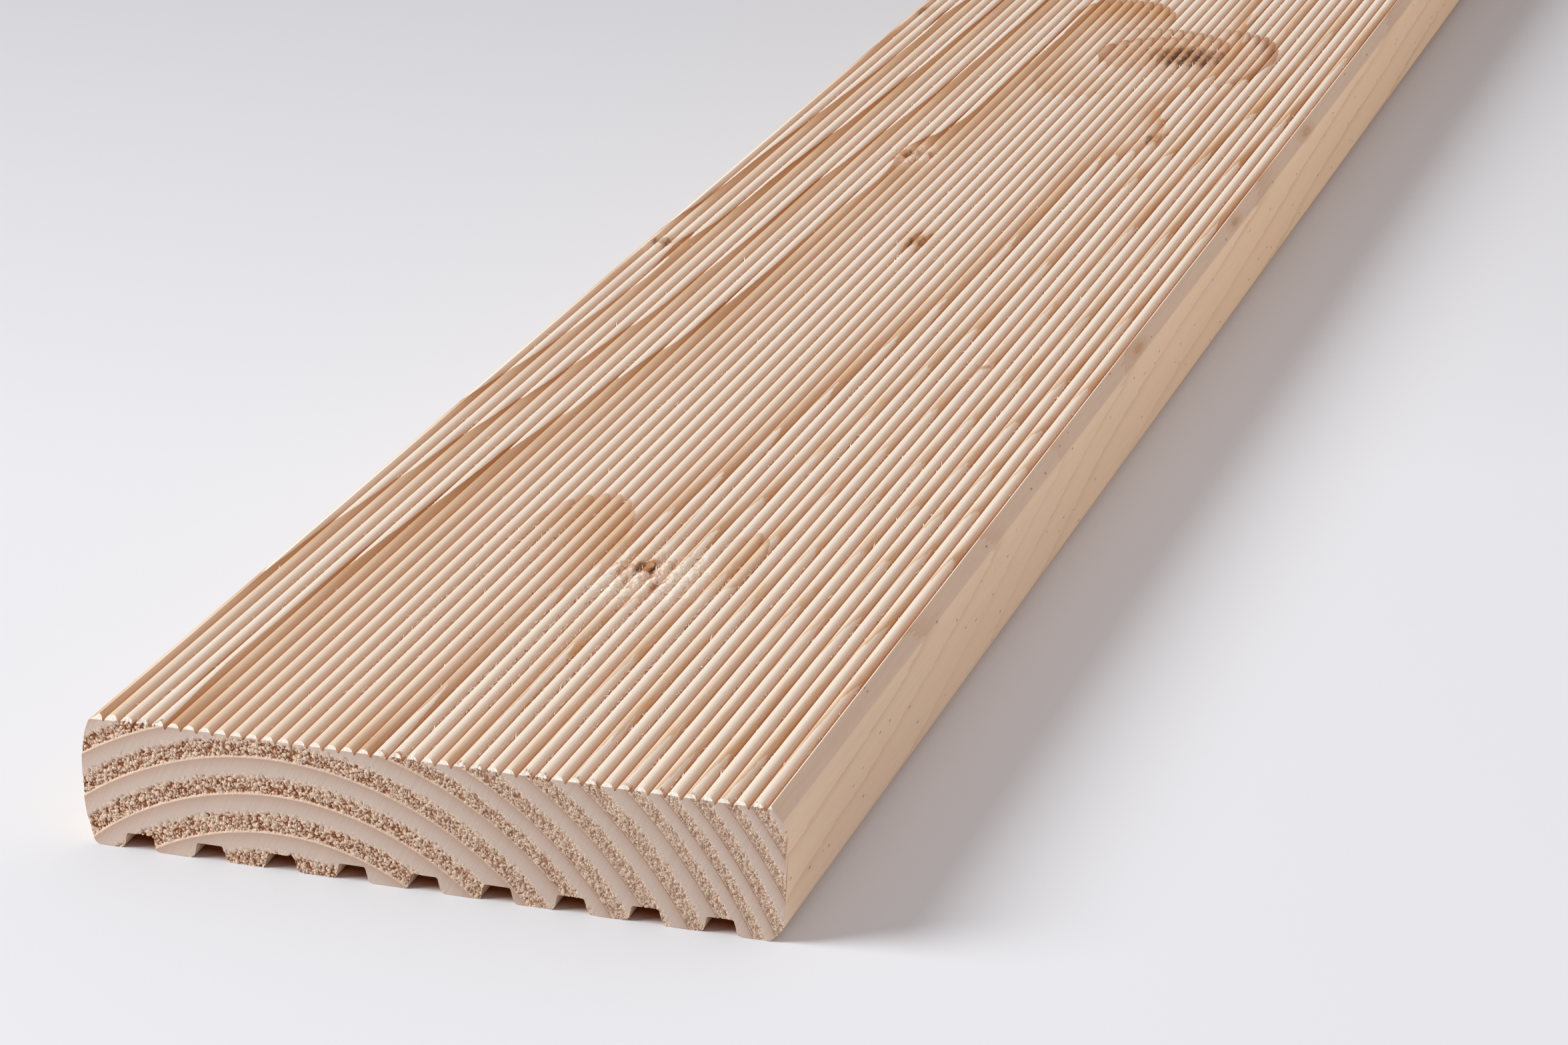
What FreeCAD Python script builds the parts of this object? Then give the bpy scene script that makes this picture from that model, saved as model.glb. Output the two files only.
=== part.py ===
"""A reeded softwood decking board, sawn and planed from one piece of timber.

The board lies flat with its reeded walking face up. X runs across the board, Y
along it and Z up. The origin is the middle of the resting face, so the feet of
the underside stand on Z = 0. All sizes are in millimetres.
"""
import FreeCAD, Part
import Sketcher
import os

DOCUMENT_NAME = "decking_board"
NODE = "decking_board"

# Driving dimensions, each written once
SIZES = {
    "board_width": 145.0,
    "board_thickness": 28.0,
    "board_length": 1800.0,
    # Reeds: rounded ribs along the walking face, with a narrow slot between two
    "reed_pitch": 3.315,
    "reed_rise": 1.3,
    "slot_width": 0.345,
    "first_crest": 3.52,
    "last_crest_margin": 1.9,
    "reed_root": 0.2,
    # Left edge: a small chamfer over a long soft curve, then a soft curve below
    "left_chamfer_run": 1.72,
    "left_chamfer_drop": 1.45,
    "left_upper_fall": 1.93,
    "left_flat_high": 17.0,
    "left_flat_low": 12.0,
    "left_lower_fall": 2.1,
    "left_foot_radius": 1.5,
    # Right edge: a flat side between two chamfers
    "right_chamfer_run": 3.1,
    "right_chamfer_drop": 3.65,
    "right_foot_run": 3.0,
    "right_foot_rise": 3.1,
    "right_side_radius": 4.0,
    "right_foot_radius": 1.5,
    # Underside: flat-roofed channels that leave a row of feet
    "channel_pitch": 15.05,
    "channel_roof": 5.4,
    "channel_mouth": 7.0,
    "channel_depth": 3.3,
    "first_channel": 11.65,
    "last_channel_margin": 10.5,
    "foot_radius": 0.9,
    "roof_radius": 0.5,
    # Both ends: the crests are bevelled off, but not down to the slots
    "end_bevel": 0.65,
    # How far a cutter runs on past the timber that it cuts
    "cutter_overrun": 2.0,
}

doc = FreeCAD.newDocument(DOCUMENT_NAME)


def make_sheet():
    """Write every driving dimension into a spreadsheet, one alias a row."""
    sheet = doc.addObject("Spreadsheet::Sheet", "Sizes")
    for row, (alias, value) in enumerate(SIZES.items(), start=1):
        sheet.set("A%d" % row, alias)
        sheet.set("B%d" % row, str(value))
        sheet.setAlias("B%d" % row, alias)
    doc.recompute()
    return sheet


def sized(expression):
    """Point the size names in an expression at the spreadsheet's cells."""
    words = []
    for word in expression.split():
        words.append("Sizes." + word if word in SIZES else word)
    return " ".join(words)


def origin_plane(body, role):
    """Return one of the body's own origin planes."""
    return [plane for plane in body.Origin.OriginFeatures if plane.Role == role][0]


def sketch_on(body, role, name):
    """Start a sketch on an origin plane of the body."""
    sketch = body.newObject("Sketcher::SketchObject", name)
    sketch.AttachmentSupport = [(origin_plane(body, role), "")]
    sketch.MapMode = "FlatFace"
    return sketch


def arc_between(start, end, radius, bulge_right):
    """Return the short arc from start to end, bulging to the right of the way."""
    chord = end - start
    middle = start + chord * 0.5
    right = FreeCAD.Vector(chord.y, -chord.x, 0).normalize()
    centre_distance = max(radius ** 2 - (chord.Length / 2) ** 2, 0.0) ** 0.5
    side = 1 if bulge_right else -1
    centre = middle - right * side * centre_distance
    crown = centre + right * side * radius
    return Part.Arc(start, crown, end)


def draw_outline(sketch, corners):
    """Draw a closed outline, each corner and radius tied to the spreadsheet.

    A corner is (across, up, radius). The radius is None where the outline goes on
    straight to the next corner, and otherwise that of the arc that leads there,
    bulging to the right of the way.
    """
    places = []
    for across, up, radius in corners:
        x = float(sketch.evalExpression(sized(across)))
        y = float(sketch.evalExpression(sized(up)))
        places.append(FreeCAD.Vector(x, y, 0))
    # Geometry first: straight runs and arcs through the corners' places
    for index, (across, up, radius) in enumerate(corners):
        start = places[index]
        end = places[(index + 1) % len(places)]
        if radius is None:
            sketch.addGeometry(Part.LineSegment(start, end))
        else:
            size = float(sketch.evalExpression(sized(radius)))
            sketch.addGeometry(arc_between(start, end, size, True))
    # An arc runs anticlockwise in a sketch, so its first point can be its far end
    first_points = []
    last_points = []
    for index in range(len(corners)):
        begins_here = sketch.getPoint(index, 1).distanceToPoint(places[index]) < 1e-6
        first_points.append(1 if begins_here else 2)
        last_points.append(2 if begins_here else 1)
    for index, (across, up, radius) in enumerate(corners):
        before = index - 1 if index else len(corners) - 1
        joined = (before, last_points[before], index, first_points[index])
        sketch.addConstraint(Sketcher.Constraint("Coincident", *joined))
        corner = (-1, 1, index, first_points[index])
        across_row = sketch.addConstraint(
            Sketcher.Constraint("DistanceX", *corner, places[index].x))
        sketch.setExpression("Constraints[%d]" % across_row, sized(across))
        up_row = sketch.addConstraint(
            Sketcher.Constraint("DistanceY", *corner, places[index].y))
        sketch.setExpression("Constraints[%d]" % up_row, sized(up))
        if radius is not None:
            size = float(sketch.evalExpression(sized(radius)))
            radius_row = sketch.addConstraint(Sketcher.Constraint("Radius", index, size))
            sketch.setExpression("Constraints[%d]" % radius_row, sized(radius))
    doc.recompute()
    return sketch


def lengthwise_pad(body, sketch, name):
    """Run a section drawn on the XZ plane along the whole board."""
    pad = body.newObject("PartDesign::Pad", name)
    pad.Profile = sketch
    pad.SideType = "Symmetric"
    pad.setExpression("Length", sized("board_length"))
    body.Tip = pad
    doc.recompute()
    return pad


def cut(body, sketch, name, length):
    """Cut a section to both sides of its sketch, and prove that it took timber away."""
    before = body.Shape.Volume
    pocket = body.newObject("PartDesign::Pocket", name)
    pocket.Profile = sketch
    pocket.SideType = "Symmetric"
    pocket.setExpression("Length", sized(length))
    body.Tip = pocket
    doc.recompute()
    if not body.Shape.Volume < before:
        raise RuntimeError(name + " cut nothing")
    return pocket


def repeat(body, feature, name, pitch, count):
    """Repeat a feature across the board at the given pitch."""
    pattern = body.newObject("PartDesign::LinearPattern", name)
    pattern.Originals = [feature]
    pattern.Direction = (feature.Profile[0], ["H_Axis"])
    pattern.Mode = "Spacing"
    pattern.setExpression("Offset", sized(pitch))
    pattern.setExpression("Occurrences", sized(count))
    body.Tip = pattern
    doc.recompute()
    return pattern


def lengthwise_edges(shape, is_wanted):
    """Name the straight edges along the board whose place (x, z) is wanted."""
    names = []
    for number, edge in enumerate(shape.Edges, start=1):
        box = edge.BoundBox
        runs_along = box.XLength < 1e-6 and box.ZLength < 1e-6 and box.YLength > 1
        if runs_along and is_wanted(box.XMin, box.ZMin):
            names.append("Edge%d" % number)
    return names


def round_edges(body, name, radius, is_wanted):
    """Round the chosen lengthwise edges of the body as it stands."""
    before = body.Tip
    fillet = body.newObject("PartDesign::Fillet", name)
    fillet.Base = (before, lengthwise_edges(before.Shape, is_wanted))
    fillet.setExpression("Radius", sized(radius))
    body.Tip = fillet
    doc.recompute()
    return fillet


def value(name):
    """Read a size back from the spreadsheet."""
    return float(getattr(doc.Sizes, name))


def near(first, second):
    return abs(first - second) < 1e-4


def make_blank(body):
    """The timber below the reeds: soft left edge, flat right side."""
    sketch = sketch_on(body, "XZ_Plane", "BlankSection")
    upper_height = "( board_thickness - reed_rise - left_flat_high )"
    upper_radius = "( {h} * {h} + left_upper_fall * left_upper_fall ) / ( 2 * left_upper_fall )"
    lower_radius = "( {h} * {h} + left_lower_fall * left_lower_fall ) / ( 2 * left_lower_fall )"
    draw_outline(sketch, [
        ("board_width / 2 - right_foot_run", "0", None),
        ("board_width / 2", "right_foot_rise", None),
        ("board_width / 2", "board_thickness - reed_rise", None),
        ("0 - board_width / 2 + left_upper_fall", "board_thickness - reed_rise",
         upper_radius.format(h=upper_height)),
        ("0 - board_width / 2", "left_flat_high", None),
        ("0 - board_width / 2", "left_flat_low", lower_radius.format(h="left_flat_low")),
        ("0 - board_width / 2 + left_lower_fall", "0", None),
    ])
    return lengthwise_pad(body, sketch, "Blank")


def add_reeds(body):
    """Rounded reeds side by side. Each stands in the blank by its short root."""
    sketch = sketch_on(body, "XZ_Plane", "ReedSection")
    half_width = "( reed_pitch - slot_width ) / 2"
    crest = "first_crest - board_width / 2"
    floor_height = "board_thickness - reed_rise"
    arc_radius = "( reed_rise * reed_rise + {h} * {h} ) / ( 2 * reed_rise )".format(h=half_width)
    draw_outline(sketch, [
        (crest + " + " + half_width, floor_height, arc_radius),
        (crest + " - " + half_width, floor_height, None),
        (crest + " - " + half_width, floor_height + " - reed_root", None),
        (crest + " + " + half_width, floor_height + " - reed_root", None),
    ])
    reed = lengthwise_pad(body, sketch, "Reed")
    count = "floor( ( board_width - first_crest - last_crest_margin ) / reed_pitch ) + 1"
    return repeat(body, reed, "Reeds", "reed_pitch", count)


def corner_cutter(body, role, name, edge_out, top, run, drop, side):
    """Sketch the triangle that takes a sloping strip off an upper edge.

    The slope leaves the top at run inside edge_out and comes down by drop. Both
    ends of the slope run on past the timber by the same share.
    """
    sketch = sketch_on(body, role, name)
    inward = "-" if side > 0 else "+"
    outward = "+" if side > 0 else "-"
    share = "cutter_overrun / ( %s )" % run
    far_out = "%s %s cutter_overrun" % (edge_out, outward)
    low = "%s - ( %s ) - ( %s ) * %s" % (top, drop, drop, share)
    far_in = "%s %s ( %s ) %s cutter_overrun" % (edge_out, inward, run, inward)
    high = "%s + ( %s ) * %s" % (top, drop, share)
    corners = [(far_out, low, None), (far_out, high, None), (far_in, high, None)]
    draw_outline(sketch, corners)
    return sketch


def chamfer_upper_edges(body):
    """The small left chamfer runs into the soft edge, the right one is larger."""
    along = "board_length + 2 * cutter_overrun"
    left = corner_cutter(
        body, "XZ_Plane", "LeftChamferSection",
        "0 - board_width / 2 + left_upper_fall", "board_thickness",
        "left_chamfer_run", "left_chamfer_drop", -1)
    cut(body, left, "LeftChamfer", along)
    right = corner_cutter(
        body, "XZ_Plane", "RightChamferSection",
        "board_width / 2", "board_thickness",
        "right_chamfer_run", "right_chamfer_drop", 1)
    cut(body, right, "RightChamfer", along)


def cut_channels(body):
    """Flat-roofed channels along the underside, with leaning walls."""
    sketch = sketch_on(body, "XZ_Plane", "ChannelSection")
    middle = "first_channel - board_width / 2"
    draw_outline(sketch, [
        (middle + " + channel_mouth / 2", "0", None),
        (middle + " + channel_roof / 2", "channel_depth", None),
        (middle + " - channel_roof / 2", "channel_depth", None),
        (middle + " - channel_mouth / 2", "0", None),
        (middle + " - channel_mouth / 2", "0 - cutter_overrun", None),
        (middle + " + channel_mouth / 2", "0 - cutter_overrun", None),
    ])
    channel = cut(body, sketch, "Channel", "board_length + 2 * cutter_overrun")
    count = "floor( ( board_width - first_channel - last_channel_margin ) / channel_pitch ) + 1"
    return repeat(body, channel, "Channels", "channel_pitch", count)


def round_long_edges(body):
    """Round the feet, the channel roofs and both sides' corners."""
    half = value("board_width") / 2
    side = half - 1e-3
    left_foot = value("left_lower_fall") - half
    right_foot = half - value("right_foot_run")
    depth = value("channel_depth")

    def on_foot(x, z):
        outer = near(x, left_foot) or near(x, right_foot)
        return near(z, 0) and not outer

    round_edges(body, "RoundedFeet", "foot_radius", on_foot)
    round_edges(body, "RoundedRoofs", "roof_radius", lambda x, z: near(z, depth))
    round_edges(body, "RoundedSide", "right_side_radius", lambda x, z: x > side)
    round_edges(body, "LeftFoot", "left_foot_radius",
                lambda x, z: near(z, 0) and near(x, left_foot))
    round_edges(body, "RightFoot", "right_foot_radius",
                lambda x, z: near(z, 0) and near(x, right_foot))


def bevel_ends(body):
    """Bevel the reeds' crests at both ends."""
    sketch = corner_cutter(
        body, "YZ_Plane", "EndBevelSection",
        "0 - board_length / 2", "board_thickness", "end_bevel", "end_bevel", -1)
    bevel = cut(body, sketch, "EndBevel", "board_width + 2 * cutter_overrun")
    mirrored = body.newObject("PartDesign::Mirrored", "BothEndBevels")
    mirrored.Originals = [bevel]
    mirrored.MirrorPlane = (origin_plane(body, "XZ_Plane"), [""])
    body.Tip = mirrored
    doc.recompute()


def check_and_export(body):
    """Refuse a failed feature or a broken solid, then write the board's file."""
    for item in doc.Objects:
        if "Invalid" in item.State or "Error" in item.State:
            raise RuntimeError(item.Name + " failed: " + ", ".join(item.State))
    shape = body.Shape
    if shape.isNull() or not shape.isValid() or len(shape.Solids) != 1:
        raise RuntimeError(body.Label + " is not one valid solid")
    os.makedirs("parts", exist_ok=True)
    shape.exportStep("parts/%s.step" % body.Label)
    box = shape.BoundBox
    size = (box.XLength, box.YLength, box.ZLength)
    print("%s: %.3f x %.3f x %.3f mm" % ((body.Label,) + size))
    print("volume %.1f cm3, %d faces" % (shape.Volume / 1000, len(shape.Faces)))


make_sheet()
board = doc.addObject("PartDesign::Body", "Board")
board.Label = NODE
make_blank(board)
add_reeds(board)
chamfer_upper_edges(board)
cut_channels(board)
round_long_edges(board)
bevel_ends(board)
check_and_export(board)
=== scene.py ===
# %% [markdown]
# # A reeded decking board, ready to look at
#
# A planed softwood board with 43 fine reeds along its walking face. The CAD part gives the section at real size. This
# script makes the wood: the growth rings that run through the whole board, the torn grain of the sawn end, the knots
# and the small splinters that a planer leaves along the reeds.
#
# Lengths in the wood are written in millimetres, because that is how a board is measured. Blender works in metres.

# %% Tools and the frame
import math
import random

import bmesh
import bpy
import numpy as np
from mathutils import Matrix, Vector, noise


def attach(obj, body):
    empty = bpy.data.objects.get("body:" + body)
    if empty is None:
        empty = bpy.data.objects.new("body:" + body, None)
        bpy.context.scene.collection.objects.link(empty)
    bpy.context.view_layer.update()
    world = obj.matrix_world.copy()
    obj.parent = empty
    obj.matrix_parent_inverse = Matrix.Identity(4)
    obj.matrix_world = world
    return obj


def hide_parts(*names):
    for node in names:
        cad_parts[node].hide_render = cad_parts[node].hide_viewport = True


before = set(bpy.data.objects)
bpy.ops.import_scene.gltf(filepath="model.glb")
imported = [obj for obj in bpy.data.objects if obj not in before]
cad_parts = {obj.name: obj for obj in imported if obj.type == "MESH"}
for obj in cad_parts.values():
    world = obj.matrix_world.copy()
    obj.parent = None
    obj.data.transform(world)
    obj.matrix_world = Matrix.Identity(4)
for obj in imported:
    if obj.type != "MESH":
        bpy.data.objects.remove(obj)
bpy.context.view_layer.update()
MM = 0.001
HALF_LENGTH = 900.0

# %% [markdown]
# ## The trunk behind the board
#
# A board shows whatever part of the trunk it was cut from. Here the middle of the tree, the pith, lies 45 mm under the
# board and a little to the left of its middle, so the sawn end shows arches. The pith also wanders along the board,
# which is why the rings leave long slanting flames on the walking face.
#
# So the rings are worked out for any point of the trunk. Both the mesh and the paint ask the same sum, and the torn
# grain stays on its ring wherever it comes to the surface.

# %% Numbers that flow through paint nodes
class Wire:
    """A number on its way through a node tree, so that a sum can be written as a sum."""

    def __init__(self, tree, socket):
        self.tree = tree
        self.socket = socket

    def math(self, operation, *others):
        return sum_node(self.tree, "ShaderNodeMath", operation, self, *others)

    def __add__(self, other):
        return self.math("ADD", other)

    def __sub__(self, other):
        return self.math("SUBTRACT", other)

    def __rsub__(self, other):
        return self.math("MULTIPLY", -1.0).math("ADD", other)

    def __mul__(self, other):
        return self.math("MULTIPLY", other)

    def __truediv__(self, other):
        return self.math("DIVIDE", other)

    __radd__ = __add__
    __rmul__ = __mul__


def sum_node(tree, kind, operation, *values):
    """One node of a sum, fed by wires, numbers or short lists of numbers."""
    node = tree.nodes.new(kind)
    node.operation = operation
    for place, value in zip(node.inputs, values):
        if isinstance(value, Wire):
            tree.links.new(value.socket, place)
        else:
            place.default_value = value
    result = "Value" if operation in ("LENGTH", "DOT_PRODUCT") else 0
    return Wire(tree, node.outputs[result])


def vector_math(tree, operation, *values):
    return sum_node(tree, "ShaderNodeVectorMath", operation, *values)


def vector(tree, *parts):
    """Three numbers on one wire."""
    node = tree.nodes.new("ShaderNodeCombineXYZ")
    for place, value in zip(node.inputs, parts):
        if isinstance(value, Wire):
            tree.links.new(value.socket, place)
        else:
            place.default_value = value
    return node.outputs[0]


def root(value):
    return value.math("SQRT") if isinstance(value, Wire) else np.sqrt(value)


def wave(value):
    return value.math("SINE") if isinstance(value, Wire) else np.sin(value)


def bell(value):
    """1 where value is 0, falling away smoothly."""
    if isinstance(value, Wire):
        return sum_node(value.tree, "ShaderNodeMath", "POWER", math.exp(-1.0), value)
    return np.exp(-value)


def ramp(value, low, high, first=0.0, last=1.0):
    """The first number below low, the last above high, and straight in between."""
    if isinstance(value, Wire):
        node = value.tree.nodes.new("ShaderNodeMapRange")
        value.tree.links.new(value.socket, node.inputs["Value"])
        node.inputs["From Min"].default_value = low
        node.inputs["From Max"].default_value = high
        node.inputs["To Min"].default_value = first
        node.inputs["To Max"].default_value = last
        return Wire(value.tree, node.outputs[0])
    return first + (last - first) * np.clip((value - low) / (high - low), 0.0, 1.0)


def from_spot(flat, across, along, half_width, half_length):
    """Where a point is, seen from the middle of a spot and counted in its half widths and half lengths."""
    return vector_math(flat.tree, "MULTIPLY_ADD", flat, (1.0 / half_width, 1.0 / half_length, 0.0),
                       (-across / half_width, -along / half_length, 0.0))


def spots(x, s, places, narrow=1.2):
    """The sum of soft round spots at a point: across, along, half width, half length and how strong."""
    total = 0.0
    if isinstance(x, Wire):
        flat = Wire(x.tree, vector(x.tree, x, s))
        for across, along, half_width, half_length, strength in places:
            seen = from_spot(flat, across, along, half_width / math.sqrt(narrow), half_length / math.sqrt(narrow))
            total = bell(vector_math(x.tree, "DOT_PRODUCT", seen, seen)).math("MULTIPLY_ADD", strength, total)
        return total
    for across, along, half_width, half_length, strength in places:
        dx = (x - across) / half_width
        ds = (s - along) / half_length
        total = total + bell((dx * dx + ds * ds) * narrow) * strength
    return total


# %% Where the rings and knots are
PITH_DEPTH = 45.0
TOP_HEIGHT = 28.0
# Radii at which a ring ends, measured on the sawn end; further in and out they go on at the same rate
RING_ENDS = [0, 10, 21, 32, 45.0, 52.8, 60.8, 68.5, 76.0, 82.0, 88.7, 95.2, 101.8, 106.8, 111.3, 116.4, 120.5,
             125.0, 129.4, 133.7, 138.0]
# Each knot: across, along, half width, half length, how dark, how far rings swell, and over what width and length
KNOTS = [
    (7.0, 107, 2.4, 4.0, 1.0, 2.5, 10, 22),
    (-3.0, 343.5, 2.3, 4.5, 0.75, 3.0, 9, 26),
    (-27.0, 420, 2.4, 3.5, 0.6, 2.0, 7, 20),
    (33.0, 454, 2.4, 4.5, 0.6, 4.0, 13, 34),
    (-66.0, 323, 3.4, 2.8, 0.6, 3.5, 9, 30),
    (22.5, 541, 10.5, 11.5, 0.85, 5.0, 24, 42),
    (-68.0, 569, 2.0, 4.0, 0.4, 3.0, 10, 30),
    (73.0, 282, 1.2, 4.0, 0.35, 0.0, 5, 12),
    (72.5, 389, 1.2, 4.0, 0.4, 0.0, 5, 12),
    (73.0, 479, 1.4, 5.0, 0.4, 0.0, 5, 12),
    (-20.0, 905, 5.0, 9.0, 0.8, 7.0, 18, 45),
    (38.0, 1190, 3.0, 6.0, 0.7, 4.0, 12, 32),
    (-41.0, 1420, 7.0, 13.0, 0.75, 8.0, 20, 50),
]
# Where summer wood is too thin to darken the face: across, along, half width, half length, how much
FADED = [
    (-14.0, 90, 17, 90, 0.75),
    (38.0, 110, 32, 170, 0.5),
    (50.0, 330, 32, 130, 0.35),
    (-45.0, 450, 25, 110, -0.35),
    (48.0, 450, 22, 90, -0.35),
]
# Islands of summer wood, with one crisp side: across, along, half width, half length, how far the crisp side
# is towards the right and towards the far end, how dark the island is and how dark the line on its crisp side
ISLANDS = [
    (-14.5, 118, 11.5, 28, 0.35, 0.8, 0.65, 0.2),
    (4.5, 132, 3.0, 24, 0.9, -0.4, 0.35, 0.35),
    (24.0, 114, 5.5, 18, 0.9, 0.4, 0.55, 0.35),
    (-7.0, 578, 16.0, 22, 0.1, 0.95, 1.0, 0.5),
    (10.0, 552, 23.0, 17, 0.6, 0.7, 0.45, 0.6),
    (14.0, 540, 17.5, 20, -0.9, 0.5, 0.5, 0.65),
    (28.0, 541, 19.5, 33, 0.95, 0.3, 0.15, 0.8),
    (0.0, 512, 15.0, 24, -0.4, -0.85, 0.35, 0.1),
]
# Where the knives left flecks of torn fibre beside the slots: across, along, half width, half length, how many
FLECKED = [
    (4.0, 75, 26, 50, 1.0),
    (10.0, 112, 18, 26, 0.6),
    (20.0, 530, 22, 34, 0.6),
]
# Where the knives tore the reeds beside a knot: across, along, half width, half length, how badly
TORN_SPOTS = [
    (10.0, 103, 13, 17, 1.0),
    (-3.0, 343, 5, 9, 0.5),
    (33.0, 455, 7, 10, 0.6),
    (21.0, 540, 15, 24, 0.5),
    (-25.5, 418, 8, 11, 1.0),
    (-66.0, 322, 6, 9, 0.7),
    (40.0, 254, 3, 4, 0.7),
    (-20.0, 905, 9, 14, 0.5),
    (-41.0, 1420, 11, 18, 0.5),
]


def pith_across(s):
    """Where the pith is, s mm along from the end that the photo shows."""
    bend = s / 185.0
    return 2.7 - wave(s * 0.003 + 1.571) * 16.1 - bell(bend * bend * bend) * 17.3


SWELLINGS = [(across, along, wide, long, swelling)
             for across, along, _, _, _, swelling, wide, long in KNOTS if swelling]


def on_top(x, z, pith):
    """Where the branch through this point reaches the walking face. Branches grow out of the pith."""
    return pith + (x - pith) / (z + PITH_DEPTH) * (TOP_HEIGHT + PITH_DEPTH)


def ring_radius(x, s, z, pith, surface):
    """How far from the pith this point grew, once the swellings round knots are allowed for."""
    across = x - pith
    up = z + PITH_DEPTH
    radius = root(across * across + up * up)
    radius = radius + wave(s * 0.031 + x * 0.025) * 0.3
    radius = radius + wave(s * 0.0117 - x * 0.04 + 1.0) * 0.45
    radius = radius + wave(s * 0.083 + z * 0.1 + x * 0.11) * 0.1
    # Rings are a little wider behind the sawn end than on it
    radius = radius - (1.0 - bell(s * s * 0.002)) * 0.8
    return radius - spots(surface, s, SWELLINGS, 2.0)


def ring_share(x, s, z):
    """How far through its ring a point is: 0 where spring wood starts, 1 at the end of summer wood."""
    pith = pith_across(s)
    radius = ring_radius(x, s, z, pith, on_top(x, z, pith))
    return np.interp(radius, RING_ENDS, range(len(RING_ENDS))) % 1.0


print("ring share at the middle of the end:", ring_share(0.0, 0.0, 14.0))

# %% [markdown]
# ## Paint that asks the same sums
#
# Every finish below starts from the growth rings, so they're a node group of their own.

# %% Small helpers for paint
def new_group(name, inputs, outputs):
    """A node group with these sockets, and wires or sockets to start from."""
    tree = bpy.data.node_groups.new(name, "ShaderNodeTree")
    for title, kind in inputs:
        tree.interface.new_socket(title, in_out="INPUT", socket_type="NodeSocket" + kind)
    for title, kind in outputs:
        tree.interface.new_socket(title, in_out="OUTPUT", socket_type="NodeSocket" + kind)
    return tree, tree.nodes.new("NodeGroupInput"), tree.nodes.new("NodeGroupOutput")


def millimetres(tree, position):
    """Across, along and up in mm, from a position in metres."""
    split = tree.nodes.new("ShaderNodeSeparateXYZ")
    tree.links.new(position, split.inputs[0])
    x, y, z = (Wire(tree, socket) for socket in split.outputs)
    return x * 1000.0, y * 1000.0 + HALF_LENGTH, z * 1000.0


def cloudy(tree, at, detail=2.0, rough=0.5):
    """Soft noise from 0 to 1 whose blobs are about one unit across."""
    node = tree.nodes.new("ShaderNodeTexNoise")
    node.inputs["Scale"].default_value = 1.0
    node.inputs["Detail"].default_value = detail
    node.inputs["Roughness"].default_value = rough
    tree.links.new(at, node.inputs["Vector"])
    return Wire(tree, node.outputs[0])


def cells(tree, at, feature="DISTANCE_TO_EDGE"):
    """Distance within clumps that are about one unit across."""
    node = tree.nodes.new("ShaderNodeTexVoronoi")
    node.feature = feature
    node.inputs["Scale"].default_value = 1.0
    tree.links.new(at, node.inputs["Vector"])
    return Wire(tree, node.outputs[0])


def mix(tree, share, first, second, blend="MIX"):
    """A colour between two colours."""
    node = tree.nodes.new("ShaderNodeMix")
    node.data_type = "RGBA"
    node.blend_type = blend
    if isinstance(share, Wire):
        tree.links.new(share.socket, node.inputs[0])
    else:
        node.inputs[0].default_value = share
    for place, value in ((node.inputs[6], first), (node.inputs[7], second)):
        if isinstance(value, tuple):
            place.default_value = value
        else:
            tree.links.new(value, place)
    return node.outputs[2]


def brighten(tree, colour, amount):
    """The colour times 1 + amount."""
    node = tree.nodes.new("ShaderNodeVectorMath")
    node.operation = "SCALE"
    tree.links.new(colour, node.inputs[0])
    tree.links.new((amount + 1.0).socket, node.inputs["Scale"])
    return node.outputs[0]


def paint(red, green, blue):
    """A colour as read off a picture, 0 to 255, turned into the linear light that nodes use."""
    linear = [((c / 255 + 0.055) / 1.055) ** 2.4 if c > 10 else c / 3294.6 for c in (red, green, blue)]
    return (*linear, 1.0)


# %% Growth rings as a node group
def make_rings_group():
    tree, start, end = new_group(
        "growth rings", [("Position", "Vector"), ("Ragged", "Float")],
        [("Share", "Float"), ("Knot", "Float"), ("Halo", "Float")])
    x, s, z = millimetres(tree, start.outputs["Position"])
    fray = cloudy(tree, vector(tree, x * 1.1, s * 0.045, z * 1.1), 4.0, 0.65) - 0.5
    fray = fray * (0.5 + ramp(x, -30.0, 10.0))
    pith = pith_across(s)
    surface = on_top(x, z, pith)
    radius = ring_radius(x, s, z, pith, surface) + fray * Wire(tree, start.outputs["Ragged"])
    curve = tree.nodes.new("ShaderNodeFloatCurve")
    largest = RING_ENDS[-1]
    points = curve.mapping.curves[0].points
    for index, ring_end in enumerate(RING_ENDS[1:-1], 1):
        points.new(ring_end / largest, index / (len(RING_ENDS) - 1))
    for point in points:
        point.handle_type = "VECTOR"
    curve.mapping.update()
    tree.links.new((radius / largest).socket, curve.inputs["Value"])
    count = Wire(tree, curve.outputs[0]) * float(len(RING_ENDS) - 1)
    tree.links.new(count.math("FRACT").socket, end.inputs["Share"])
    ragged = cloudy(tree, vector(tree, x * 0.35, s * 0.12, z * 0.35), 3.0, 0.6)
    flat = Wire(tree, vector(tree, surface, s))
    nearest = 9.0
    darkness = 0.0
    for across, along, half_width, half_length, dark, _, _, _ in KNOTS:
        away = vector_math(tree, "LENGTH", from_spot(flat, across, along, half_width, half_length))
        nearest = away.math("MINIMUM", nearest)
        darkness = away.math("LESS_THAN", 1.7).math("MULTIPLY_ADD", dark, darkness)
    nearest = nearest + (ragged - 0.5) * 0.9
    tree.links.new((ramp(nearest, 0.7, 1.15, 1.0, 0.0) * darkness).socket, end.inputs["Knot"])
    tree.links.new(ramp(nearest, 0.9, 2.6, 1.0, 0.0).socket, end.inputs["Halo"])
    return tree


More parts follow.
